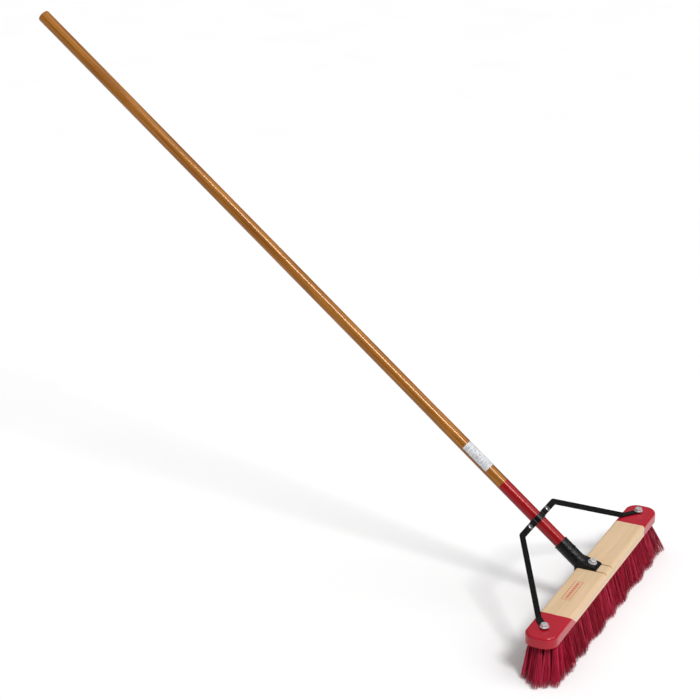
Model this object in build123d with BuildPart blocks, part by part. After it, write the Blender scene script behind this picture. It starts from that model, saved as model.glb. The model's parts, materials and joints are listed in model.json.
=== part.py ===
"""Push broom: a wooden block with bristle tufts, a lacquered pole in a steel socket, and a strap brace.

Frame, in millimetres: the origin lies on the floor, in the middle of the bristle tips. +X runs along the
block, -Y is the side that faces the push, +Y is the side that the pole leans to, and +Z is up. The pieces
are laid out with the block's middle over the origin, and finish() then moves them back by the tips' lead.
"""

import os
from math import atan2, cos, radians, sin, tan

from build123d import *

# ---- driving dimensions (mm and degrees) ----
TRIM = 71.5  # from the floor to the underside of the block
BLOCK_LENGTH = 609.6  # 24 in
BLOCK_WIDTH = 63.5
BLOCK_THICKNESS = 22.2
BLOCK_EDGE_RADIUS = 6.4
BLOCK_CORNER_RADIUS = 25.4

POLE_LENGTH = 1524.0  # 60 in
POLE_RADIUS = 12.7
POLE_BUTT_RADIUS = 13.2  # the lower end is left thicker
POLE_BUTT_END = 380.0  # distances along the pole start at the top face of the block
POLE_TAPER_END = 440.0
POLE_FOOT = 14.0
POLE_LEAN = 51.0  # from vertical
POLE_Y = 24.3  # where the pole's axis meets the top face of the block
POLE_TOP_ROUNDING = 4.0
POLE_BUTT_CHAMFER = 1.5

LABEL_START = 260.0
LABEL_LENGTH = 64.0
LABEL_EDGE = 175.0  # direction of its lower edge around the pole
LABEL_WRAP = 250.0  # degrees around the pole
LABEL_THICKNESS = 0.2

SOCKET_MOUTH = 60.5
SOCKET_HEEL = 2.0
SOCKET_WALL = 1.9
SOCKET_LIP = 0.6
SOCKET_LIP_LENGTH = 2.5
SOCKET_GAP = 0.1  # between the pole and the tube
BORE_EXCESS = 3.0  # of the tube's bore past the pole's foot
FLANGE_X = 17.5  # half width of the tongue, over its flanges
TONGUE_SLOPE = 14.0  # down towards the front
TONGUE_HEIGHT = 7.5  # of its upper face over the block, at y = 0
TONGUE_END_Y = -9.5
TONGUE_BACK_Y = 30.0  # the upper face ends here, beside the tube
TONGUE_NOSE = 4.0  # length of the bevel at its end
TONGUE_WALL = 2.6
TONGUE_ROUNDING = 4.0
HOLLOW_BACK_Y = 20.0
HEEL_HEIGHT = 4.0
KERF_WIDTH = 3.2  # saw cuts in the block that take the socket's side flanges
KERF_FRONT_Y = -31.0
KERF_SLOPE = 7.0
FLANGE_GAP = 0.4  # on both sides of a flange in its kerf
HEEL_Y = 34.5  # the flanges reach just past the back of the block
SOCKET_SCREW_DISTANCE = 36.0
SCREW_HEAD_RADIUS = 3.2
SCREW_HEAD_HEIGHT = 2.2
SCREW_LENGTH = 12.0
SCREW_RADIUS = 1.9
SCREW_POINT = 3.0
SCREW_PILOT_RADIUS = 1.7

BRACE_DISTANCE = 123.5  # middle of the saddle
BRACE_WIDTH = 12.7
BRACE_THICKNESS = 3.0
BRACE_LIFT = 0.4  # from the plane through the pole's axis to the back of the strap
BRACE_BAR_X = 62.0  # half length of the straight bar, saddle included
ELBOW_X = 84.0
ELBOW_RADIUS = 10.0  # at the middle of the strap
FOOT_BEND_X = 238.0
FOOT_ROUND = 7.5
ARM_EXCESS = 12.0  # length along the block by which an arm overruns its bend before it is cut
SADDLE_FILLET = 3.0
BAR_TRIM = 100.0  # of the rectangle that cuts a saddle's ring in half
STRAP_OVERLAP = 4.0  # where two stretches of the strap run into each other
FOOT_SETBACK = 1.0  # from the bend line to the start of a foot
CLAMP_BOLT_X = 45.0
CLAMP_PLATE_X = 53.5
CLAMP_THICKNESS = 2.5
CLAMP_CORNER = 3.0

ROWS = 5
ROW_PITCH = 11.5
TUFTS = 41  # in the middle row; each row outwards holds one fewer, which staggers the rows
TUFT_PITCH = 14.3
TUFT_ROOT_RADIUS = 3.1
TUFT_TIP_RADIUS = 3.8
TUFT_CLEARANCE = 1.5  # between the block and the free length of a tuft
BRISTLE_LEAN = 6.0  # degrees towards the front, for every tuft
ROW_SPLAY = 3.6  # degrees more for each row out from the middle
END_FLARE = 26.0  # degrees, at the last tuft
END_FLARE_LENGTH = 110.0
HOLE_DEPTH = 11.0
HOLE_RADIUS = 3.2
ROOT_LENGTH = 9.0
STAPLE_WIRE = 1.2
STAPLE_LENGTH = 8.0
STAPLE_DEPTH = 10.0  # of the wire's middle, in the hole

LAG_HEX = 12.7  # across flats, 5/16 in lag screws
LAG_HEAD = 5.2
LAG_RADIUS = 3.1
PILOT_RADIUS = 2.8
PILOT_SPARE = 0.5  # depth of a pilot hole past its screw
WASHER_RADIUS = 8.75
WASHER_BORE_RADIUS = 4.2
WASHER_THICKNESS = 1.6
BRACE_SCREW_DEPTH = 10.0  # into the wood
SOCKET_BOLT_SHANK = 20.0
SOCKET_BOLT_Y = 4.0

CLAMP_HEAD_RADIUS = 6.6  # 1/4 in carriage bolts
CLAMP_HEAD_HEIGHT = 3.4
CLAMP_SHANK_RADIUS = 3.1
CLAMP_NECK = 6.2
CLAMP_NUT_HEX = 11.1
CLAMP_NUT_HEIGHT = 5.5
CLAMP_BOLT_EXCESS = 3.0  # past its nut
BOLT_CLEARANCE = 0.2
THREAD_CLEARANCE = 0.05

# ---- frame derived from them ----
BLOCK_BOTTOM = TRIM
BLOCK_TOP = TRIM + BLOCK_THICKNESS
LEAN = radians(POLE_LEAN)
POLE_DIRECTION = Vector(0, sin(LEAN), cos(LEAN))
POLE_FRONT = Vector(0, -cos(LEAN), sin(LEAN))
POLE_BASE = Vector(0, POLE_Y, BLOCK_TOP)
FRONT_AXIS = Axis((0, 0, 0), POLE_FRONT)
SOCKET_RADIUS = POLE_BUTT_RADIUS + SOCKET_GAP + SOCKET_WALL
FLANGE_WALL = KERF_WIDTH - 2 * FLANGE_GAP
SADDLE_RADIUS = POLE_BUTT_RADIUS + 0.05
SLOPE = radians(TONGUE_SLOPE)
ROW_Y = [(row - (ROWS - 1) / 2) * ROW_PITCH for row in range(ROWS)]
SIDES = {"left": -1, "right": 1}
TIP_LEAD = TRIM * tan(radians(BRISTLE_LEAN))  # of the tips' middle, ahead of the block's middle
# The feet keep the arms' angle to the block's length, so the strap only has a straight crease there.
ARM_TURN = atan2(BRACE_DISTANCE, FOOT_BEND_X - ELBOW_X)
FOOT_RUN = POLE_Y / sin(ARM_TURN)
BRACE_SCREW_X = FOOT_BEND_X + FOOT_RUN * cos(ARM_TURN)

TOP_PLANE = Plane.XY.offset(BLOCK_TOP)
# Side view, looking along -X: local x is the distance to the back, local y the height over the block.
SIDE_PLANE = Plane(origin=(0, 0, BLOCK_TOP), x_dir=(0, 1, 0), z_dir=(1, 0, 0))
# Plane of the brace: local x runs along the block, local y up the pole, and its normal points to the front.
BRACE_PLANE = Plane(origin=POLE_BASE, x_dir=(1, 0, 0), z_dir=POLE_FRONT)


def pole_plane(distance):
    """Plane square to the pole: local x runs along the block, local y to the pole's underside."""
    return Plane(origin=POLE_BASE + POLE_DIRECTION * distance, x_dir=(1, 0, 0), z_dir=POLE_DIRECTION)


def front_plane(distance, lift, x=0.0):
    """Plane that faces the front of the pole, lifted off its axis."""
    origin = POLE_BASE + POLE_DIRECTION * distance + POLE_FRONT * lift + Vector(x, 0, 0)
    return Plane(origin=origin, x_dir=(1, 0, 0), z_dir=POLE_FRONT)


def tongue_height(y):
    """Height of the tongue's upper face over the block."""
    return TONGUE_HEIGHT + y * tan(SLOPE)


def tongue_plane(y, lift=0.0):
    """Plane on the tongue's upper face, at y."""
    slope_up = Vector(0, -sin(SLOPE), cos(SLOPE))
    origin = Vector(0, y, BLOCK_TOP + tongue_height(y)) + slope_up * lift
    return Plane(origin=origin, x_dir=(1, 0, 0), z_dir=slope_up)


def kerf_height(y):
    """Height of the kerf's sloping floor, from the block's top face."""
    return -(y - KERF_FRONT_Y) * tan(radians(KERF_SLOPE))


def row_xs(row):
    """Places of one row's tufts along the block."""
    count = TUFTS - abs(row - ROWS // 2)
    return [(i - (count - 1) / 2) * TUFT_PITCH for i in range(count)]


def tip_of(x, y):
    """Where a tuft with its root at x, y ends on the floor."""
    last = (TUFTS - 1) / 2 * TUFT_PITCH
    share = max(0.0, abs(x) - (last - END_FLARE_LENGTH)) / END_FLARE_LENGTH
    flare = radians(END_FLARE * share**1.5)
    splay = radians(ROW_SPLAY * y / ROW_PITCH - BRISTLE_LEAN)
    return x + (TRIM * tan(flare) if x > 0 else -TRIM * tan(flare)), y + TRIM * tan(splay)


def saddle_corners(corners, face_y, thickness):
    """The corners where a saddle's arch meets the outer face of its bar."""
    reach = SADDLE_RADIUS + thickness + 1
    return [v for v in corners if abs(v.Y - face_y) < 0.01 and abs(v.X) < reach]


def finish(name, builder):
    """Move a finished piece into the frame, label it and write its STEP file."""
    builder.part.move(Location((0, TIP_LEAD, 0)))
    builder.part.label = name
    export_step(builder.part, f"parts/{name}.step")


def hex_lag(under_head, shank_length):
    """Hex lag screw: its head stands on the plane, and its shank ends in a gimlet point below it."""
    point = LAG_RADIUS * 1.4
    with BuildPart() as lag:
        with BuildSketch(under_head):
            RegularPolygon(LAG_HEX / 2, 6, major_radius=False)
        extrude(amount=LAG_HEAD)
        with BuildSketch(under_head.offset(LAG_HEAD)):
            Circle(LAG_HEX * 0.47)
        extrude(amount=-LAG_HEAD, taper=-60, mode=Mode.INTERSECT)
        with BuildSketch(under_head):
            Circle(LAG_RADIUS)
        extrude(amount=point - shank_length)
        with BuildSketch(under_head.offset(point - shank_length)):
            Circle(LAG_RADIUS)
        extrude(amount=-point, taper=33)
    return lag


os.makedirs("parts", exist_ok=True)

# ---- pole: a thicker lower end, a short taper, and a rounded top ----
with BuildPart() as handle:
    with BuildSketch(pole_plane(POLE_FOOT)):
        Circle(POLE_BUTT_RADIUS)
    extrude(amount=POLE_BUTT_END - POLE_FOOT)
    with BuildSketch(pole_plane(POLE_BUTT_END)):
        Circle(POLE_BUTT_RADIUS)
    with BuildSketch(pole_plane(POLE_TAPER_END)):
        Circle(POLE_RADIUS)
    loft()
    with BuildSketch(pole_plane(POLE_TAPER_END)):
        Circle(POLE_RADIUS)
    extrude(amount=POLE_FOOT + POLE_LENGTH - POLE_TAPER_END)
    ends = handle.faces().filter_by(GeomType.PLANE).sort_by(Axis.Z)
    chamfer(ends[0].edges(), POLE_BUTT_CHAMFER)
    fillet(ends[-1].edges(), POLE_TOP_ROUNDING)
    with BuildSketch(front_plane(SOCKET_SCREW_DISTANCE, 0)):
        Circle(SCREW_PILOT_RADIUS)
    extrude(amount=POLE_BUTT_RADIUS + 1, mode=Mode.SUBTRACT)
finish("handle", handle)

# ---- label: a thin wrap with a gap at the back of the pole ----
with BuildPart() as handle_label:
    with BuildSketch(pole_plane(LABEL_START)):
        Circle(POLE_BUTT_RADIUS + 0.02 + LABEL_THICKNESS)
        Circle(POLE_BUTT_RADIUS + 0.02, mode=Mode.SUBTRACT)
        gap_middle = radians(LABEL_EDGE - (360 - LABEL_WRAP) / 2)
        gap_half = radians((360 - LABEL_WRAP) / 2)
        reach = 3 * POLE_RADIUS
        with BuildLine():
            Polyline(
                (0, 0),
                (reach * cos(gap_middle - gap_half), reach * sin(gap_middle - gap_half)),
                (reach * cos(gap_middle + gap_half), reach * sin(gap_middle + gap_half)),
                close=True,
            )
        make_face(mode=Mode.SUBTRACT)
    extrude(amount=LABEL_LENGTH)
finish("handle_label", handle_label)

# ---- block: rounded ends and top edge, kerfs, a cove for the socket's heel, pilot holes and tuft holes ----
with BuildPart() as block:
    with BuildSketch(Plane.XY.offset(BLOCK_BOTTOM)):
        RectangleRounded(BLOCK_LENGTH, BLOCK_WIDTH, BLOCK_CORNER_RADIUS)
    extrude(amount=BLOCK_THICKNESS)
    fillet(block.faces().sort_by(Axis.Z)[-1].edges(), BLOCK_EDGE_RADIUS)
    kerf_x = FLANGE_X + FLANGE_GAP - KERF_WIDTH / 2
    for side in SIDES.values():
        with BuildSketch(SIDE_PLANE.offset(side * kerf_x)):
            with BuildLine():
                Polyline(
                    (KERF_FRONT_Y, 0),
                    (BLOCK_WIDTH, kerf_height(BLOCK_WIDTH)),
                    (BLOCK_WIDTH, 5),
                    (KERF_FRONT_Y, 5),
                    close=True,
                )
            make_face()
        extrude(amount=KERF_WIDTH / 2, both=True, mode=Mode.SUBTRACT)
    with BuildSketch(pole_plane(SOCKET_HEEL - FLANGE_GAP)):
        Circle(SOCKET_RADIUS + FLANGE_GAP)
    extrude(amount=SOCKET_MOUTH, mode=Mode.SUBTRACT)
    with BuildSketch(TOP_PLANE):
        with Locations(*[(side * BRACE_SCREW_X, 0) for side in SIDES.values()]):
            Circle(PILOT_RADIUS)
    extrude(amount=-BRACE_SCREW_DEPTH - PILOT_SPARE, mode=Mode.SUBTRACT)
    with BuildSketch(tongue_plane(SOCKET_BOLT_Y)):
        Circle(PILOT_RADIUS)
    extrude(amount=-SOCKET_BOLT_SHANK - PILOT_SPARE, mode=Mode.SUBTRACT)
    with BuildSketch(Plane.XY.offset(BLOCK_BOTTOM)):
        with Locations(*[(x, y) for row, y in enumerate(ROW_Y) for x in row_xs(row)]):
            Circle(HOLE_RADIUS)
    extrude(amount=HOLE_DEPTH, mode=Mode.SUBTRACT)
finish("block", block)

# ---- socket: a tube for the pole, and a sloping tongue with side flanges that stand in the kerfs ----
wood_gap = 0.15  # between the socket and the wood
inner_end = TONGUE_END_Y + TONGUE_WALL
inner_nose = inner_end + TONGUE_NOSE * 0.6
inner_drop = TONGUE_WALL * 1.1  # of the tongue's lower face, measured upright
nose_drop = TONGUE_NOSE * 1.1
block_back = BLOCK_WIDTH / 2
with BuildPart() as handle_socket:
    with BuildSketch(SIDE_PLANE):
        with BuildLine():
            Polyline(
                (TONGUE_END_Y, kerf_height(TONGUE_END_Y) + wood_gap),
                (TONGUE_END_Y, tongue_height(TONGUE_END_Y + TONGUE_NOSE) - nose_drop),
                (TONGUE_END_Y + TONGUE_NOSE, tongue_height(TONGUE_END_Y + TONGUE_NOSE)),
                (TONGUE_BACK_Y, tongue_height(TONGUE_BACK_Y)),
                (HEEL_Y, HEEL_HEIGHT),
                (HEEL_Y, kerf_height(HEEL_Y) + wood_gap),
                close=True,
            )
        make_face()
    extrude(amount=FLANGE_X, both=True)
    crest = handle_socket.faces().sort_by(Axis((0, 0, 0), tongue_plane(0).z_dir))[-1]
    fillet(crest.edges().filter_by(Axis.X, reverse=True), TONGUE_ROUNDING)
    with BuildSketch(pole_plane(SOCKET_HEEL)):
        Circle(SOCKET_RADIUS)
    extrude(amount=SOCKET_MOUTH - SOCKET_HEEL)
    with BuildSketch(pole_plane(SOCKET_MOUTH - SOCKET_LIP_LENGTH)):
        Circle(SOCKET_RADIUS + SOCKET_LIP)
    extrude(amount=SOCKET_LIP_LENGTH)
    lip = handle_socket.faces().sort_by(Axis.Z)[-1]
    fillet(lip.edges().sort_by(SortBy.LENGTH)[-1], SOCKET_LIP * 0.8)
    with BuildSketch(pole_plane(POLE_FOOT - BORE_EXCESS)):
        Circle(POLE_BUTT_RADIUS + SOCKET_GAP)
    extrude(amount=SOCKET_MOUTH, mode=Mode.SUBTRACT)
    # the hollow under the tongue, which the block's top fills from below
    with BuildSketch(SIDE_PLANE):
        with BuildLine():
            Polyline(
                (TONGUE_END_Y - 10, -15),
                (TONGUE_END_Y - 10, wood_gap),
                (inner_end, wood_gap),
                (inner_end, 1.6),
                (inner_nose, tongue_height(inner_nose) - inner_drop),
                (HOLLOW_BACK_Y, tongue_height(HOLLOW_BACK_Y) - inner_drop),
                (block_back - 6, 8),
                (block_back + FLANGE_GAP, 2),
                (block_back + FLANGE_GAP, -15),
                close=True,
            )
        make_face()
    extrude(amount=FLANGE_X - FLANGE_WALL, both=True, mode=Mode.SUBTRACT)
    with BuildSketch(tongue_plane(SOCKET_BOLT_Y)):
        Circle(WASHER_BORE_RADIUS)
    extrude(amount=-TONGUE_WALL * 2, mode=Mode.SUBTRACT)
    with BuildSketch(front_plane(SOCKET_SCREW_DISTANCE, POLE_BUTT_RADIUS)):
        Circle(SCREW_RADIUS + FLANGE_GAP)
    extrude(amount=SOCKET_WALL * 2, mode=Mode.SUBTRACT)
finish("handle_socket", handle_socket)

# ---- screw through the front of the socket into the pole ----
head_plane = front_plane(SOCKET_SCREW_DISTANCE, SOCKET_RADIUS + THREAD_CLEARANCE)
slot_long = SCREW_HEAD_RADIUS
slot_wide = SCREW_HEAD_RADIUS * 0.25
with BuildPart() as socket_screw:
    with BuildSketch(head_plane):
        Circle(SCREW_HEAD_RADIUS)
    extrude(amount=SCREW_HEAD_HEIGHT)
    fillet(socket_screw.faces().sort_by(FRONT_AXIS)[-1].edges(), SCREW_HEAD_HEIGHT * 0.6)
    with BuildSketch(head_plane.offset(SCREW_HEAD_HEIGHT)):
        with Locations(Location((0, 0), 45)):
            Rectangle(slot_long, slot_wide)
            Rectangle(slot_wide, slot_long)
    extrude(amount=-SCREW_HEAD_HEIGHT / 2, mode=Mode.SUBTRACT)
    with BuildSketch(head_plane):
        Circle(SCREW_RADIUS)
    extrude(amount=SCREW_POINT - SCREW_LENGTH)
    with BuildSketch(head_plane.offset(SCREW_POINT - SCREW_LENGTH)):
        Circle(SCREW_RADIUS)
    extrude(amount=-SCREW_POINT, taper=28)
finish("socket_screw", socket_screw)

# ---- socket bolt and its washer, square to the tongue ----
with BuildPart() as socket_washer:
    with BuildSketch(tongue_plane(SOCKET_BOLT_Y)):
        Circle(WASHER_RADIUS)
        Circle(WASHER_BORE_RADIUS, mode=Mode.SUBTRACT)
    extrude(amount=WASHER_THICKNESS)
finish("socket_washer", socket_washer)

socket_bolt = hex_lag(tongue_plane(SOCKET_BOLT_Y, WASHER_THICKNESS), SOCKET_BOLT_SHANK)
finish("socket_bolt", socket_bolt)

# ---- brace: one flat strap with a saddle over the pole, elbows, arms and feet ----
with BuildPart() as brace:
    saddle_plane = pole_plane(BRACE_DISTANCE - BRACE_WIDTH / 2)
    strap_middle = BRACE_LIFT + BRACE_THICKNESS / 2
    with BuildSketch(saddle_plane):
        Circle(SADDLE_RADIUS + BRACE_THICKNESS)
        with Locations((0, -strap_middle)):
            Rectangle(2 * BRACE_BAR_X, BRACE_THICKNESS)
        Circle(SADDLE_RADIUS, mode=Mode.SUBTRACT)
        with Locations((0, BAR_TRIM / 2 - BRACE_LIFT)):
            Rectangle(4 * SADDLE_RADIUS, BAR_TRIM, mode=Mode.SUBTRACT)
        strap_front = -BRACE_LIFT - BRACE_THICKNESS
        fillet(saddle_corners(vertices(), strap_front, BRACE_THICKNESS), SADDLE_FILLET)
    extrude(amount=BRACE_WIDTH)
    for side in SIDES.values():
        with BuildSketch(BRACE_PLANE.offset(BRACE_LIFT)):
            with BuildLine() as arm_line:
                FilletPolyline(
                    (side * (BRACE_BAR_X - STRAP_OVERLAP / 2), BRACE_DISTANCE),
                    (side * ELBOW_X, BRACE_DISTANCE),
                    (side * (FOOT_BEND_X + ARM_EXCESS), -ARM_EXCESS * tan(ARM_TURN)),
                    radius=ELBOW_RADIUS,
                )
            trace(arm_line.line, BRACE_WIDTH)
        extrude(amount=BRACE_THICKNESS)
    # the arms stop at the block's top face, where the feet begin
    split(bisect_by=TOP_PLANE, keep=Keep.TOP)
    for side in SIDES.values():
        with BuildSketch(TOP_PLANE):
            with BuildLine() as foot_line:
                foot_start = (side * (FOOT_BEND_X - STRAP_OVERLAP), POLE_Y + STRAP_OVERLAP * tan(ARM_TURN))
                Line(foot_start, (side * BRACE_SCREW_X, 0))
            trace(foot_line.line, BRACE_WIDTH)
            with Locations((0, POLE_Y - FOOT_SETBACK + BLOCK_WIDTH)):
                Rectangle(2 * BLOCK_LENGTH, 2 * BLOCK_WIDTH, mode=Mode.SUBTRACT)
            with Locations((side * BRACE_SCREW_X, 0)):
                Circle(FOOT_ROUND)
        extrude(amount=BRACE_THICKNESS)
    with BuildSketch(TOP_PLANE):
        with Locations(*[(side * BRACE_SCREW_X, 0) for side in SIDES.values()]):
            Circle(WASHER_BORE_RADIUS)
    extrude(amount=BRACE_THICKNESS, mode=Mode.SUBTRACT)
    with BuildSketch(BRACE_PLANE.offset(BRACE_LIFT)):
        with Locations(*[(side * CLAMP_BOLT_X, BRACE_DISTANCE) for side in SIDES.values()]):
            Rectangle(CLAMP_NECK + 2 * BOLT_CLEARANCE, CLAMP_NECK + 2 * BOLT_CLEARANCE)
    extrude(amount=BRACE_THICKNESS, mode=Mode.SUBTRACT)
finish("brace", brace)

# ---- clamp plate behind the pole ----
with BuildPart() as clamp_plate:
    with BuildSketch(pole_plane(BRACE_DISTANCE - BRACE_WIDTH / 2)):
        Circle(SADDLE_RADIUS + CLAMP_THICKNESS)
        with Locations((0, BRACE_LIFT + CLAMP_THICKNESS / 2)):
            Rectangle(2 * CLAMP_PLATE_X, CLAMP_THICKNESS)
        Circle(SADDLE_RADIUS, mode=Mode.SUBTRACT)
        with Locations((0, BRACE_LIFT - BAR_TRIM / 2)):
            Rectangle(4 * SADDLE_RADIUS, BAR_TRIM, mode=Mode.SUBTRACT)
        plate_back = BRACE_LIFT + CLAMP_THICKNESS
        fillet(saddle_corners(vertices(), plate_back, CLAMP_THICKNESS), SADDLE_FILLET)
    extrude(amount=BRACE_WIDTH)
    fillet(clamp_plate.edges().filter_by(FRONT_AXIS), CLAMP_CORNER)
    with BuildSketch(BRACE_PLANE.offset(-BRACE_LIFT)):
        with Locations(*[(side * CLAMP_BOLT_X, BRACE_DISTANCE) for side in SIDES.values()]):
            Circle(CLAMP_SHANK_RADIUS + BOLT_CLEARANCE)
    extrude(amount=-CLAMP_THICKNESS, mode=Mode.SUBTRACT)
finish("clamp_plate", clamp_plate)

# ---- carriage bolts and nuts of the clamp ----
nut_lift = -BRACE_LIFT - CLAMP_THICKNESS
for name, side in SIDES.items():
    head_plane = front_plane(BRACE_DISTANCE, BRACE_LIFT + BRACE_THICKNESS, side * CLAMP_BOLT_X)
    nut_plane = front_plane(BRACE_DISTANCE, nut_lift, side * CLAMP_BOLT_X)
    shank_length = BRACE_THICKNESS + BRACE_LIFT - nut_lift + CLAMP_NUT_HEIGHT + CLAMP_BOLT_EXCESS
    with BuildPart() as clamp_bolt:
        with BuildSketch(head_plane):
            Circle(CLAMP_HEAD_RADIUS)
        extrude(amount=CLAMP_HEAD_HEIGHT)
        fillet(clamp_bolt.faces().sort_by(FRONT_AXIS)[-1].edges(), CLAMP_HEAD_HEIGHT - 0.5)
        with BuildSketch(head_plane):
            Rectangle(CLAMP_NECK, CLAMP_NECK)
        extrude(amount=-BRACE_THICKNESS)
        with BuildSketch(head_plane):
            Circle(CLAMP_SHANK_RADIUS)
        extrude(amount=-shank_length)
        chamfer(clamp_bolt.faces().sort_by(FRONT_AXIS)[0].edges(), 0.8)
    finish(f"clamp_bolt_{name}", clamp_bolt)
    with BuildPart() as clamp_nut:
        with BuildSketch(nut_plane):
            RegularPolygon(CLAMP_NUT_HEX / 2, 6, major_radius=False)
            Circle(CLAMP_SHANK_RADIUS + THREAD_CLEARANCE, mode=Mode.SUBTRACT)
        extrude(amount=-CLAMP_NUT_HEIGHT)
        with BuildSketch(nut_plane.offset(-CLAMP_NUT_HEIGHT - 2.0)):
            Circle(CLAMP_NUT_HEX * 0.42)
        extrude(amount=CLAMP_NUT_HEIGHT + 2.0, taper=-32, mode=Mode.INTERSECT)
    finish(f"clamp_nut_{name}", clamp_nut)

# ---- lag screws and washers at the brace's feet ----
for name, side in SIDES.items():
    foot_top = Plane(origin=(side * BRACE_SCREW_X, 0, BLOCK_TOP + BRACE_THICKNESS))
    with BuildPart() as brace_washer:
        with BuildSketch(foot_top):
            Circle(WASHER_RADIUS)
            Circle(WASHER_BORE_RADIUS, mode=Mode.SUBTRACT)
        extrude(amount=WASHER_THICKNESS)
    finish(f"brace_washer_{name}", brace_washer)
    shank_length = WASHER_THICKNESS + BRACE_THICKNESS + BRACE_SCREW_DEPTH
    brace_screw = hex_lag(foot_top.offset(WASHER_THICKNESS), shank_length)
    finish(f"brace_screw_{name}", brace_screw)

# ---- tufts: the free length of each row, its roots in the block, and the staples that hold them ----
for row, y in enumerate(ROW_Y):
    number = row + 1
    with BuildPart() as bristle_row:
        for x in row_xs(row):
            with BuildSketch(Plane.XY.offset(BLOCK_BOTTOM - TUFT_CLEARANCE)):
                with Locations((x, y)):
                    Circle(TUFT_ROOT_RADIUS)
            with BuildSketch(Plane.XY):
                with Locations(tip_of(x, y)):
                    Circle(TUFT_TIP_RADIUS)
            loft()
    finish(f"bristle_row_{number}", bristle_row)
    with BuildPart() as tuft_roots:
        with BuildSketch(Plane.XY.offset(BLOCK_BOTTOM)):
            with Locations(*[(x, y) for x in row_xs(row)]):
                Circle(TUFT_ROOT_RADIUS)
        extrude(amount=ROOT_LENGTH)
    finish(f"tuft_roots_{number}", tuft_roots)
    with BuildPart() as tuft_staples:
        for x in row_xs(row):
            wire_start = (x - STAPLE_LENGTH / 2, y, BLOCK_BOTTOM + STAPLE_DEPTH)
            with BuildSketch(Plane(origin=wire_start, x_dir=(0, 1, 0), z_dir=(1, 0, 0))):
                Circle(STAPLE_WIRE / 2)
        extrude(amount=STAPLE_LENGTH)
    finish(f"tuft_staples_{number}", tuft_staples)
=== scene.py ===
"""Looks for the push broom: procedural materials on the CAD pieces, and real filaments for its tufts.

Metres, in the part's own frame: +X along the block, +Y the side that the pole leans to, +Z up, and the
floor at z = 0.
"""

import json
from math import ceil, cos, pi, radians, sin, sqrt, tau

import bpy
import numpy as np
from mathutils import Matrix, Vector


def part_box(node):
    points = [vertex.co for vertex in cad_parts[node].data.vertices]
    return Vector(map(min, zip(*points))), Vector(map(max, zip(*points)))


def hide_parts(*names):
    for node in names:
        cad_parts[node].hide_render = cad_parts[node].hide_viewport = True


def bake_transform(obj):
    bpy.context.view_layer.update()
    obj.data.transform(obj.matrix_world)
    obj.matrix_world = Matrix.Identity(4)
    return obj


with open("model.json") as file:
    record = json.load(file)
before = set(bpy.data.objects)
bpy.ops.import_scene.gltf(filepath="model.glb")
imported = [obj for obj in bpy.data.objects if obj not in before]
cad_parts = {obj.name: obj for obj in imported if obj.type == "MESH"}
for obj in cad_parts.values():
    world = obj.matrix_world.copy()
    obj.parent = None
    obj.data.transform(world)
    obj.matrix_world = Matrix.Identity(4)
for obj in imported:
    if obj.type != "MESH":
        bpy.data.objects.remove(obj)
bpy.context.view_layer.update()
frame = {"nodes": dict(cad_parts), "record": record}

# ---- places taken from the frame ----
BLOCK_LOW, BLOCK_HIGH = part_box("block")
BLOCK_MIDDLE = (BLOCK_LOW + BLOCK_HIGH) / 2
MOUNTS = {mount["name"]: mount for mount in frame["record"]["mounts"]}
POLE_DIRECTION = Vector(MOUNTS["grip"]["axis"]).normalized()
POLE_FRONT = Vector((0, -POLE_DIRECTION.z, POLE_DIRECTION.y))
GRIP = Vector(MOUNTS["grip"]["pos_m"])
POLE_BASE = GRIP - POLE_DIRECTION * ((GRIP.z - BLOCK_HIGH.z) / POLE_DIRECTION.z)
ROWS = sum(name.startswith("bristle_row_") for name in frame["nodes"])

MM = 0.001


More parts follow.
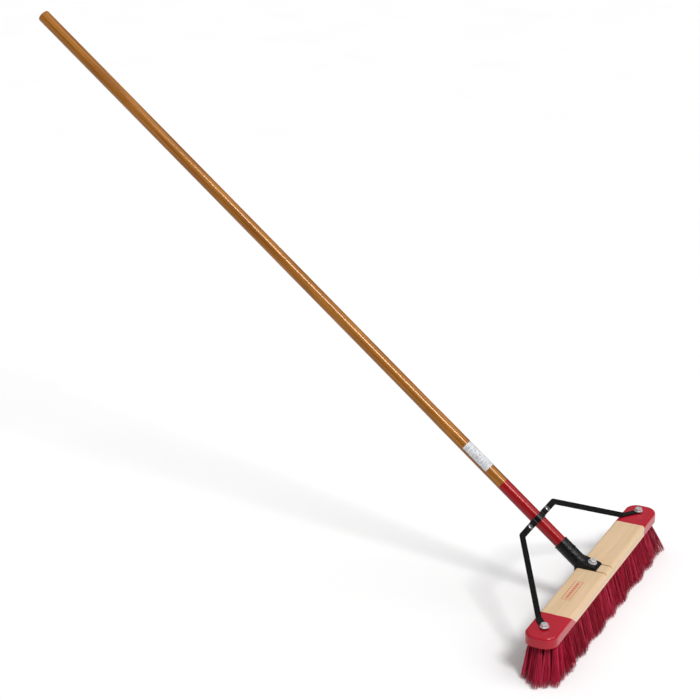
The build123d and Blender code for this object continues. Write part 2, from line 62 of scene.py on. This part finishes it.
# ---- helpers for node materials ----
class Shader:
    """A node material under construction, with one Principled BSDF."""

    def __init__(self, name, **settings):
        self.material = bpy.data.materials.new(name)
        self.material.use_nodes = True
        self.tree = self.material.node_tree
        self.bsdf = self.tree.nodes["Principled BSDF"]
        for socket, value in settings.items():
            self.bsdf.inputs[socket.replace("_", " ")].default_value = value
        self.position = self.add("ShaderNodeTexCoord").outputs["Object"]

    def add(self, kind, inputs=(), **settings):
        """A node with its properties set; inputs is a list of (socket, value or output)."""
        node = self.tree.nodes.new(kind)
        for key, value in settings.items():
            setattr(node, key, value)
        for socket, value in inputs:
            if isinstance(value, bpy.types.NodeSocket):
                self.tree.links.new(value, node.inputs[socket])
            else:
                node.inputs[socket].default_value = value
        return node

    def math(self, operation, a, b=0.0, clamp=False):
        node = self.add("ShaderNodeMath", [(0, a), (1, b)], operation=operation, use_clamp=clamp)
        return node.outputs[0]

    def dot(self, direction, origin=Vector((0, 0, 0))):
        """Distance from origin along direction, in metres."""
        node = self.add("ShaderNodeVectorMath", [(0, self.position), (1, direction)], operation="DOT_PRODUCT")
        return self.math("SUBTRACT", node.outputs["Value"], direction.dot(origin))

    def axes(self, x, y, z):
        return self.add("ShaderNodeCombineXYZ", [(0, x), (1, y), (2, z)]).outputs[0]

    def stretched(self, vector, scale):
        node = self.add("ShaderNodeVectorMath", [(0, vector), (1, scale)], operation="MULTIPLY")
        return node.outputs[0]

    def noise(self, vector, scale, detail=3.0, roughness=0.5, distortion=0.0):
        inputs = [("Vector", vector), ("Scale", scale), ("Detail", detail), ("Roughness", roughness)]
        return self.add("ShaderNodeTexNoise", inputs + [("Distortion", distortion)]).outputs["Fac"]

    def ramp(self, factor, *stops):
        """Colours or greys over a factor; a stop is (place, colour or grey)."""
        node = self.add("ShaderNodeValToRGB", [("Fac", factor)])
        elements = node.color_ramp.elements
        while len(elements) < len(stops):
            elements.new(1.0)
        for element, (place, colour) in zip(elements, stops):
            element.position = place
            element.color = (*colour, 1) if isinstance(colour, tuple) else (colour, colour, colour, 1)
        return node.outputs["Color"]

    def band(self, value, low, high):
        """0 below low and 1 above high, or the other way round, with a smooth step between them."""
        inputs = [("Value", value), ("From Min", low), ("From Max", high)]
        return self.add("ShaderNodeMapRange", inputs, interpolation_type="SMOOTHSTEP").outputs[0]

    def mix(self, factor, a, b, blend="MIX"):
        a, b = ((*c, 1) if isinstance(c, tuple) else c for c in (a, b))
        inputs = [("Factor", factor), (6, a), (7, b)]
        return self.add("ShaderNodeMix", inputs, data_type="RGBA", blend_type=blend).outputs[2]

    def bump(self, height, distance, strength):
        inputs = [("Height", height), ("Distance", distance), ("Strength", strength)]
        return self.add("ShaderNodeBump", inputs).outputs[0]

    def finish(self, **links):
        """Links outputs to the shader's sockets and gives the material."""
        for socket, output in links.items():
            self.tree.links.new(output, self.bsdf.inputs[socket.replace("_", " ")])
        return self.material


def paint(material, *names):
    """Gives CAD nodes a material."""
    for name in names:
        slots = frame["nodes"][name].data.materials
        slots.clear()
        slots.append(material)


# ---- materials ----
POLE_REDS = ((0.23, 0.004, 0.007), (0.33, 0.007, 0.011))
BLOCK_REDS = ((0.34, 0.005, 0.016), (0.46, 0.010, 0.028))
POLE_DIP = 220 * MM  # up the pole
BLOCK_DIP = 212 * MM  # from the middle of the block
DIP_TILT = 1.3  # the left end went into the paint aslant
KERF_X = 16.3 * MM
KERF_HALF_WIDTH = 1.7 * MM
KERF_END_Y = 31.3 * MM  # from the middle of the block, at both ends
POLE_RADIUS = 13 * MM  # under the label


def pole_material():
    """Amber lacquer over long straight grain; the lower end is dipped in red."""
    s = Shader("pole_lacquer", Roughness=0.13, Specular_IOR_Level=0.42)
    along = s.dot(POLE_DIRECTION, POLE_BASE)
    across = s.dot(Vector((1, 0, 0)))
    front = s.dot(POLE_FRONT, POLE_BASE)
    place = s.axes(across, front, along)
    streaks = s.noise(s.stretched(place, (420, 420, 5)), 1.0, 5.0, 0.6)
    clouds = s.noise(s.stretched(place, (60, 60, 9)), 1.0, 2.0)
    pores = s.noise(s.stretched(place, (1500, 1500, 95)), 1.0, 2.0, 0.5)
    tones = ((0.3, (0.19, 0.058, 0.008)), (0.5, (0.34, 0.125, 0.018)), (0.72, (0.47, 0.20, 0.035)))
    grain = s.ramp(streaks, *tones)
    tint = s.ramp(clouds, (0.3, (0.72, 0.66, 0.6)), (0.65, (1.0, 1.0, 1.0)))
    wood = s.mix(1.0, grain, tint, "MULTIPLY")
    pore_mask = s.band(pores, 0.66, 0.74)
    wood = s.mix(s.math("MULTIPLY", pore_mask, 0.6), wood, (0.07, 0.022, 0.004))
    wobble = s.noise(s.stretched(place, (90, 90, 90)), 1.0, 2.0)
    edge = s.math("ADD", along, s.math("MULTIPLY", s.math("SUBTRACT", wobble, 0.5), 5 * MM))
    dipped = s.band(edge, POLE_DIP + 0.6 * MM, POLE_DIP - 0.6 * MM)
    paint_tone = s.mix(clouds, *POLE_REDS)
    colour = s.mix(dipped, wood, paint_tone)
    relief = s.math("MULTIPLY", streaks, s.math("SUBTRACT", 1.2, dipped))
    sheen = s.mix(dipped, (1.0, 0.74, 0.5), (1.0, 0.5, 0.5))
    return s.finish(Base_Color=colour, Specular_Tint=sheen, Normal=s.bump(relief, 0.06 * MM, 0.25))


def block_material():
    """Pale varnished wood, grain along the block, both ends dipped in red, with a plain stamp on top."""
    s = Shader("block_wood", Specular_IOR_Level=0.2, Coat_Weight=0.25, Coat_Roughness=0.1)
    x = s.dot(Vector((1, 0, 0)))
    y = s.dot(Vector((0, 1, 0)), BLOCK_MIDDLE)
    z = s.dot(Vector((0, 0, 1)))
    place = s.axes(x, y, z)
    rings = s.noise(s.stretched(place, (4.5, 95, 95)), 1.0, 4.0, 0.55, 0.4)
    fibres = s.noise(s.stretched(place, (22, 900, 900)), 1.0, 3.0, 0.6)
    clouds = s.noise(s.stretched(place, (9, 30, 30)), 1.0, 2.0)
    wood = s.ramp(rings, (0.3, (0.66, 0.45, 0.275)), (0.5, (0.70, 0.50, 0.32)), (0.75, (0.735, 0.545, 0.365)))
    flecks = s.band(fibres, 0.60, 0.72)
    wood = s.mix(s.math("MULTIPLY", flecks, 0.28), wood, (0.45, 0.27, 0.13))
    wood = s.mix(1.0, wood, s.ramp(clouds, (0.3, (0.93, 0.95, 0.9)), (0.7, (1.0, 0.97, 0.95))), "MULTIPLY")
    slant = s.math("MULTIPLY", s.math("SUBTRACT", BLOCK_HIGH.z, z), DIP_TILT)
    out = s.math("MAXIMUM", x, s.math("SUBTRACT", slant, x))
    ripple = s.noise(s.stretched(place, (60, 60, 60)), 1.0)
    wobble = s.math("MULTIPLY", s.math("SUBTRACT", ripple, 0.5), 3 * MM)
    edge = s.math("ADD", out, wobble)
    feather = s.band(edge, BLOCK_DIP - 1.6 * MM, BLOCK_DIP + 0.2 * MM)
    dipped = s.band(edge, BLOCK_DIP - 0.2 * MM, BLOCK_DIP + 0.5 * MM)
    colour = s.mix(s.math("MULTIPLY", feather, 0.45), wood, (0.8, 0.2, 0.16))
    colour = s.mix(dipped, colour, s.mix(clouds, *BLOCK_REDS))
    colour = s.mix(stamp_mask(s, x, y, z), colour, (0.55, 0.06, 0.04))
    # The kerfs' walls and floors, below the top face and between their ends, are coloured a darker brown.
    off_kerf = s.math("ABSOLUTE", s.math("SUBTRACT", s.math("ABSOLUTE", x), KERF_X))
    below_top = s.band(z, BLOCK_HIGH.z - 0.02 * MM, BLOCK_HIGH.z - 0.15 * MM)
    in_kerf = s.band(off_kerf, KERF_HALF_WIDTH + 0.3 * MM, KERF_HALF_WIDTH - 0.3 * MM)
    kerf_walls = s.math("MULTIPLY", in_kerf, below_top)
    inside = s.band(s.math("ABSOLUTE", y), KERF_END_Y + 0.3 * MM, KERF_END_Y - 0.3 * MM)
    kerf_walls = s.math("MULTIPLY", kerf_walls, inside)
    colour = s.mix(kerf_walls, colour, (0.46, 0.26, 0.11))
    roughness = s.ramp(dipped, (0.0, 0.42), (1.0, 0.25))
    peel = s.noise(s.stretched(place, (220, 220, 220)), 1.0, 2.0)
    bare = s.math("SUBTRACT", 1.0, dipped)
    relief = s.math("ADD", s.math("MULTIPLY", fibres, bare), s.math("MULTIPLY", peel, 0.5))
    return s.finish(Base_Color=colour, Roughness=roughness, Normal=s.bump(relief, 0.1 * MM, 0.3))


STAMP_MIDDLE = (-109 * MM, 4.5 * MM)
STAMP_SIZE = (79 * MM, 15.5 * MM)
STAMP_LINE = 0.9 * MM
STAMP_PITCH = 9 * MM
LOZENGE_SIZE = 4.4 * MM  # from its middle to a corner


def stamp_mask(s, x, y, z):
    """A generic ink stamp: a plain frame around a row of lozenges."""
    u = s.math("SUBTRACT", x, STAMP_MIDDLE[0])
    v = s.math("SUBTRACT", y, STAMP_MIDDLE[1])
    across = s.math("SUBTRACT", s.math("ABSOLUTE", u), STAMP_SIZE[0] / 2)
    down = s.math("SUBTRACT", s.math("ABSOLUTE", v), STAMP_SIZE[1] / 2)
    rim = s.math("ABSOLUTE", s.math("MAXIMUM", across, down))
    line = s.band(rim, STAMP_LINE, STAMP_LINE / 2)
    cell = s.math("SUBTRACT", s.math("FRACT", s.math("ADD", s.math("DIVIDE", u, STAMP_PITCH), 0.5)), 0.5)
    lozenge = s.math("ADD", s.math("MULTIPLY", s.math("ABSOLUTE", cell), STAMP_PITCH), s.math("ABSOLUTE", v))
    lozenges = s.band(lozenge, LOZENGE_SIZE + 0.2 * MM, LOZENGE_SIZE - 0.2 * MM)
    inside = s.band(across, -4.0 * MM, -4.4 * MM)
    shapes = s.math("MAXIMUM", line, s.math("MULTIPLY", lozenges, inside))
    ink = s.ramp(s.noise(s.stretched(s.position, (700, 700, 700)), 1.0, 3.0), (0.35, 0.45), (0.55, 0.95))
    on_top = s.band(z, BLOCK_HIGH.z - 0.4 * MM, BLOCK_HIGH.z - 0.2 * MM)
    return s.math("MULTIPLY", s.math("MULTIPLY", shapes, ink), on_top)


def black_material(name, casting):
    """Semi-gloss black enamel with a few greyer scuffs; over a rough casting its small bumps sparkle."""
    s = Shader(name, Specular_IOR_Level=0.16 + 0.04 * casting)
    runs = s.noise(s.stretched(s.position, (55, 55, 55)), 1.0, 3.0)
    speckle = s.noise(s.stretched(s.position, (380, 380, 380)), 1.0, 2.0, 0.6)
    scuffs = s.band(s.noise(s.stretched(s.position, (170, 170, 170)), 1.0, 4.0, 0.7), 0.62, 0.72)
    base = s.ramp(runs, (0.3, (0.002, 0.002, 0.0023)), (0.7, (0.005, 0.005, 0.0055)))
    colour = s.mix(s.math("MULTIPLY", scuffs, 0.3), base, (0.05, 0.05, 0.048))
    roughness = s.ramp(speckle, (0.3, 0.15), (0.7, 0.34))
    relief = s.math("ADD", speckle, s.math("MULTIPLY", runs, 2.0))
    depth = (0.15 + 1.1 * casting) * MM
    return s.finish(Base_Color=colour, Roughness=roughness, Normal=s.bump(relief, depth, 0.6))


def zinc_material(name, shade, metallic):
    """Zinc plate with fine turning marks and a few dull, yellowish patches."""
    s = Shader(name, Metallic=metallic)
    patches = s.noise(s.stretched(s.position, (300, 300, 300)), 1.0, 3.0)
    marks = s.noise(s.stretched(s.position, (2500, 2500, 400)), 1.0, 2.0)
    tones = ((0.35, (0.88, 0.89, 0.92)), (0.6, (0.70, 0.70, 0.70)), (0.75, (0.54, 0.51, 0.44)))
    colour = s.ramp(patches, *((place, tuple(shade * part for part in tone)) for place, tone in tones))
    roughness = s.ramp(marks, (0.3, 0.2), (0.7, 0.36))
    return s.finish(Base_Color=colour, Roughness=roughness, Normal=s.bump(marks, 0.05 * MM, 0.4))


def label_material():
    """White vinyl with a frame of plain grey bars and dashes, none of them lettering."""
    s = Shader("label_vinyl", Roughness=0.45, Specular_IOR_Level=0.3)
    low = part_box("handle_label")[0]
    along = s.dot(POLE_DIRECTION, POLE_BASE)
    across = s.dot(Vector((1, 0, 0)))
    front = s.dot(POLE_FRONT, POLE_BASE)
    angle = s.math("ARCTAN2", front, across)
    place = s.axes(s.math("MULTIPLY", angle, POLE_RADIUS), along, 0.0)
    bars = s.noise(s.stretched(place, (40, 900, 1)), 1.0, 1.0)
    dashes = s.noise(s.stretched(place, (1400, 160, 1)), 1.0, 2.0)
    blotch = s.band(s.noise(s.stretched(place, (120, 120, 1)), 1.0, 1.0), 0.48, 0.56)
    ink = s.math("MULTIPLY", s.band(dashes, 0.55, 0.6), blotch)
    between = s.math("SUBTRACT", 1.0, blotch)
    ink = s.math("MAXIMUM", ink, s.math("MULTIPLY", s.band(bars, 0.55, 0.58), between))
    dust = s.noise(s.stretched(place, (300, 300, 300)), 1.0, 2.0)
    paper = s.ramp(dust, (0.3, (0.60, 0.61, 0.63)), (0.7, (0.68, 0.69, 0.71)))
    colour = s.mix(s.math("MULTIPLY", ink, 0.8), paper, (0.13, 0.13, 0.17))
    return s.finish(Base_Color=colour, Normal=s.bump(dust, 0.05 * MM, 0.3))


def staple_material():
    """Drawn wire."""
    s = Shader("staple_wire", Metallic=1.0)
    marks = s.noise(s.stretched(s.position, (60, 2500, 2500)), 1.0, 2.0)
    colour = s.ramp(marks, (0.3, (0.42, 0.42, 0.43)), (0.7, (0.60, 0.60, 0.61)))
    return s.finish(Base_Color=colour, Roughness=s.ramp(marks, (0.3, 0.3), (0.7, 0.45)))


def bristle_material():
    """Crimson filament: the tone attribute varies it from one to the next, and length from root to tip."""
    s = Shader("bristle_red", Roughness=0.35, Specular_IOR_Level=0.4)
    tone = s.add("ShaderNodeAttribute", attribute_name="tone").outputs["Fac"]
    length = s.add("ShaderNodeAttribute", attribute_name="length").outputs["Fac"]
    colour = s.ramp(tone, (0.0, (0.26, 0.002, 0.016)), (0.5, (0.52, 0.009, 0.048)), (1.0, (0.72, 0.05, 0.12)))
    tips = s.band(length, 0.88, 1.0)
    colour = s.mix(s.math("MULTIPLY", tips, 0.4), colour, (0.62, 0.09, 0.14))
    return s.finish(Base_Color=colour)


paint(pole_material(), "handle")
paint(label_material(), "handle_label")
paint(block_material(), "block")
paint(black_material("black_casting", 1.0), "handle_socket", "socket_screw")
paint(black_material("black_strap", 0.0), "brace", "clamp_plate")
lags = ("socket_bolt", "socket_washer", "brace_screw", "brace_washer")
paint(zinc_material("zinc_bright", 1.0, 0.7), *(name for name in frame["nodes"] if name.startswith(lags)))
clamps = ("clamp_bolt", "clamp_nut")
paint(zinc_material("zinc_dull", 0.4, 1.0), *(name for name in frame["nodes"] if name.startswith(clamps)))
paint(staple_material(), *(f"tuft_staples_{row}" for row in range(1, ROWS + 1)))

# ---- bristles: real filaments in every tuft, from the bottom of its hole to its tip ----
FILAMENTS = 80  # in a tuft
FILAMENT_RADIUS = 0.38 * MM
SIDES = 3
STRANDS = 9  # locks that a tuft parts into
TIP_SPREAD = 8.6 * MM
STRAND_SPREAD = 1.8 * MM
FAN = 0.72  # below 1, tufts fan out early
RINGS = np.array([-0.105, 0.0, 0.15, 0.36, 0.58, 0.8, 1.0])  # share of the free length
TAPER = np.array([1, 1, 1, 1, 0.97, 0.9, 0.65])  # of the radius, ring by ring
WAVE = 0.7 * MM
ROOT_SPREAD = 2.85 * MM
CLUMP_LENGTH = 75 * MM
CLUMP_LEAN = 2.6 * MM
BEND_END = 12 * MM  # over the floor
SEED = 7


def tuft_ends(name, top):
    """Middles of the upper or lower faces of a row's tufts, from one end of the row to the other."""
    co = np.empty(len(frame["nodes"][name].data.vertices) * 3, np.float32)
    frame["nodes"][name].data.vertices.foreach_get("co", co)
    co = co.reshape(-1, 3).astype(float)
    low, high = co[:, 2].min(), co[:, 2].max()
    middle = (low + high) / 2
    ends = co[co[:, 2] > middle] if top else co[co[:, 2] < middle]
    ends = ends[np.argsort(ends[:, 0])]
    cuts = np.where(np.diff(ends[:, 0]) > 2 * MM)[0] + 1
    return np.array([(group.min(0) + group.max(0)) / 2 for group in np.split(ends, cuts)])


def filament_mesh(name, paths, radii, tones):
    """One mesh of many tapered filaments; paths is filaments x rings x 3."""
    count, rings = paths.shape[:2]
    forward = paths[:, -1] - paths[:, 1]
    forward /= np.linalg.norm(forward, axis=1, keepdims=True)
    side = np.cross(forward, (0.0, 1.0, 0.0))
    side /= np.linalg.norm(side, axis=1, keepdims=True)
    other = np.cross(forward, side)
    corners = np.arange(SIDES) * tau / SIDES
    circle = np.cos(corners)[:, None, None] * side + np.sin(corners)[:, None, None] * other
    vertices = paths[:, :, None, :] + radii[:, :, None, None] * circle.transpose(1, 0, 2)[:, None]
    vertices = vertices.reshape(-1, 3)
    first = (np.arange(count) * rings * SIDES)[:, None, None]
    ring = (np.arange(rings - 1) * SIDES)[None, :, None]
    corner = np.arange(SIDES)[None, None, :]
    after = (corner + 1) % SIDES
    quads = np.stack([first + ring + corner, first + ring + after,
                      first + ring + SIDES + after, first + ring + SIDES + corner], -1).reshape(-1, 4)
    caps = (first[:, 0] + (rings - 1) * SIDES + np.arange(SIDES)[None])
    mesh = bpy.data.meshes.new(name)
    mesh.vertices.add(len(vertices))
    mesh.vertices.foreach_set("co", vertices.astype(np.float32).ravel())
    mesh.loops.add(quads.size + caps.size)
    mesh.loops.foreach_set("vertex_index", np.concatenate([quads.ravel(), caps.ravel()]).astype(np.int32))
    starts = np.concatenate([np.arange(len(quads)) * 4, quads.size + np.arange(count) * SIDES])
    mesh.polygons.add(len(starts))
    mesh.polygons.foreach_set("loop_start", starts.astype(np.int32))
    mesh.update(calc_edges=True)
    mesh.polygons.foreach_set("use_smooth", np.ones(len(starts), bool))
    for key, values in (("tone", np.repeat(tones, rings * SIDES)),
                        ("length", np.tile(np.repeat(np.clip(RINGS, 0, 1), SIDES), count))):
        mesh.attributes.new(key, "FLOAT", "POINT").data.foreach_set("value", values.astype(np.float32))
    columns = ceil(sqrt(count * 4))
    lines = ceil(count / columns)
    cell = np.arange(count)
    origin = np.stack([cell % columns / columns, cell // columns / lines], -1)
    size = np.array([1 / columns, 1 / lines])
    turn = np.stack([corner, corner + 1, corner + 1, corner], -1) / SIDES
    rise = np.stack([ring, ring, ring + SIDES, ring + SIDES], -1) / (SIDES * (rings - 1))
    turn, rise = np.broadcast_arrays(turn, rise)
    local = 0.1 + 0.8 * np.stack([turn, rise], -1)
    quad_uv = origin[:, None, None, None] + local * size
    cap_uv = np.broadcast_to((origin + size * 0.9)[:, None], (count, SIDES, 2))
    uv = np.concatenate([quad_uv.reshape(-1, 2), cap_uv.reshape(-1, 2)])
    mesh.uv_layers.new(name="OFBake").data.foreach_set("uv", uv.astype(np.float32).ravel())
    mesh.validate()
    return mesh


def clump_shift(x, phase):
    """Tufts lean together in loose clumps along the row: their tips draw in and bulge out."""
    place = x / CLUMP_LENGTH + phase + 0.16 * np.sin(x / CLUMP_LENGTH * 2.3)
    return -0.9 * CLUMP_LEAN * np.sin(tau * place), CLUMP_LEAN * np.cos(tau * place)


def make_row(row, rng):
    """One row's filaments, as a single piece."""
    roots = tuft_ends(f"tuft_roots_{row}", top=False)
    tops = tuft_ends(f"tuft_roots_{row}", top=True)
    tips = tuft_ends(f"bristle_row_{row}", top=False)
    outward = np.sign(round((roots[0, 1] - BLOCK_MIDDLE.y) / MM))
    paths, tones, radii = [], [], []
    widths = np.gradient(tips[:, 0]) / np.median(np.diff(tips[:, 0]))
    for root, top, tip, width in zip(roots, tops, tips, widths):
        pull, bulge = clump_shift(root[0], 0.1 * row)
        lean = np.array([pull + rng.normal(0, 0.7 * MM), outward * bulge + rng.normal(0, 0.5 * MM), 0.0])
        lock_angle = rng.uniform(0, tau)
        lock_tone = rng.normal(0, 0.27, STRANDS)
        tuft_tone = 0.5 + rng.normal(0, 0.07)
        for index in range(FILAMENTS):
            share = sqrt((index + 0.5) / FILAMENTS)
            angle = index * pi * (3 - sqrt(5)) + rng.normal(0, 0.15)
            offset = np.array([cos(angle), sin(angle), 0.0]) * share
            lock = int((angle - lock_angle) % tau / tau * STRANDS)
            lock_middle = lock_angle + (lock + 0.5) * tau / STRANDS
            lock_pull = np.array([cos(lock_middle), sin(lock_middle), 0.0]) * STRAND_SPREAD * 0.5
            end = tip + lean + (offset * (TIP_SPREAD - STRAND_SPREAD * 0.5) + lock_pull) * (width, 1, 1)
            end += rng.normal(0, 0.55 * MM, 3)
            end[2] = tip[2] + abs(rng.normal(0, 1.0 * MM)) + share * 1.0 * MM
            start = root + offset * ROOT_SPREAD
            inner = top + offset * ROOT_SPREAD * 0.9
            drop = RINGS[1:, None]
            middle = root + (tip + lean - root) * drop
            fan = start - root + (end - tip - lean - start + root) * drop**FAN
            path = middle + fan
            path[:, 2] = start[2] + (end[2] - start[2]) * drop[:, 0]
            wave = WAVE * np.sin(tau * (drop * rng.uniform(0.7, 1.6) + rng.uniform(0, 1))) * np.sin(pi * drop)
            bend = rng.normal(0, 1, 2)
            path[:, :2] += wave * bend / 1.4
            paths.append(np.vstack([inner, path]))
            tones.append(np.clip(tuft_tone + lock_tone[lock] + rng.normal(0, 0.2), 0, 1))
            radii.append(FILAMENT_RADIUS * TAPER * rng.uniform(0.85, 1.1))
    name = f"bristles_row_{row}"
    mesh = filament_mesh(name, np.array(paths), np.array(radii), np.array(tones))
    piece = bpy.data.objects.new(name, mesh)
    bpy.context.scene.collection.objects.link(piece)
    mesh.materials.append(bristle_red)
    middle = roots.mean(0)
    start = (middle[0], middle[1], BLOCK_LOW.z)
    end = (middle[0], middle[1], BEND_END)
    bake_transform(piece)
    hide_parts(f"bristle_row_{row}", f"tuft_roots_{row}")


bristle_red = bristle_material()
random = np.random.default_rng(SEED)
for row in range(1, ROWS + 1):
    make_row(row, random)


# ---- studio: floor, lights, world and camera ----
FLOOR_REACH = 14.0


def make_floor():
    """A wide pale floor under the bristle tips."""
    mesh = bpy.data.meshes.new("floor")
    reach = FLOOR_REACH
    corners = [(-reach, -reach, 0), (reach, -reach, 0), (reach, reach, 0), (-reach, reach, 0)]
    mesh.from_pydata(corners, [], [(0, 1, 2, 3)])
    floor = bpy.data.objects.new("floor", mesh)
    bpy.context.scene.collection.objects.link(floor)
    s = Shader("floor_paper", Roughness=0.7)
    tone = s.noise(s.stretched(s.position, (3, 3, 3)), 1.0, 2.0)
    paper = s.ramp(tone, (0.3, (0.93, 0.93, 0.93)), (0.7, (0.95, 0.95, 0.95)))
    mesh.materials.append(s.finish(Base_Color=paper))


def make_sun(name, direction, angle, strength):
    """A light so far off that it falls evenly over the whole floor; a wide angle makes it soft."""
    light = bpy.data.lights.new(name, "SUN")
    light.angle = radians(angle)
    light.energy = strength
    lamp = bpy.data.objects.new(name, light)
    bpy.context.scene.collection.objects.link(lamp)
    lamp.rotation_mode = "QUATERNION"
    lamp.rotation_quaternion = Vector(direction).to_track_quat("Z", "Y")


VIEW_AZIMUTH = radians(63.8)
VIEW_ELEVATION = radians(21.5)
CAMERA_PLACE = Vector((-3.3169, -1.0957, 1.9111))
LENS = 102.86

make_floor()
make_sun("key", (-0.318, -0.525, 0.790), 16, 1.75)
make_sun("fill", (0.15, -0.65, 0.75), 50, 0.8)


def make_world():
    """A studio that is dark around the sides and bright overhead, seen by the camera as plain white."""
    world = bpy.data.worlds.new("studio")
    world.use_nodes = True
    nodes, links = world.node_tree.nodes, world.node_tree.links
    place = nodes.new("ShaderNodeTexCoord")
    split = nodes.new("ShaderNodeSeparateXYZ")
    sky = nodes.new("ShaderNodeValToRGB")
    seen = nodes.new("ShaderNodeLightPath")
    tone = nodes.new("ShaderNodeMix")
    tone.data_type = "RGBA"
    for element, (height, grey) in zip(sky.color_ramp.elements, ((0.25, 0.08), (0.9, 0.72))):
        element.position = height
        element.color = (grey, grey, grey, 1)
    tone.inputs[7].default_value = (1, 1, 1, 1)
    links.new(place.outputs["Generated"], split.inputs[0])
    links.new(split.outputs["Z"], sky.inputs["Fac"])
    links.new(sky.outputs["Color"], tone.inputs[6])
    links.new(seen.outputs["Is Camera Ray"], tone.inputs["Factor"])
    links.new(tone.outputs[2], nodes["Background"].inputs["Color"])
    bpy.context.scene.world = world


make_world()
camera_data = bpy.data.cameras.new("camera")
camera_data.lens = LENS
camera_data.sensor_width = 36
camera_data.clip_end = 100
camera = bpy.data.objects.new("camera", camera_data)
bpy.context.scene.collection.objects.link(camera)
camera.location = CAMERA_PLACE
level = cos(VIEW_ELEVATION)
look = Vector((sin(VIEW_AZIMUTH) * level, cos(VIEW_AZIMUTH) * level, -sin(VIEW_ELEVATION)))
camera.rotation_mode = "QUATERNION"
camera.rotation_quaternion = look.to_track_quat("-Z", "Y")
bpy.context.scene.camera = camera
bpy.context.scene.view_settings.view_transform = "Standard"
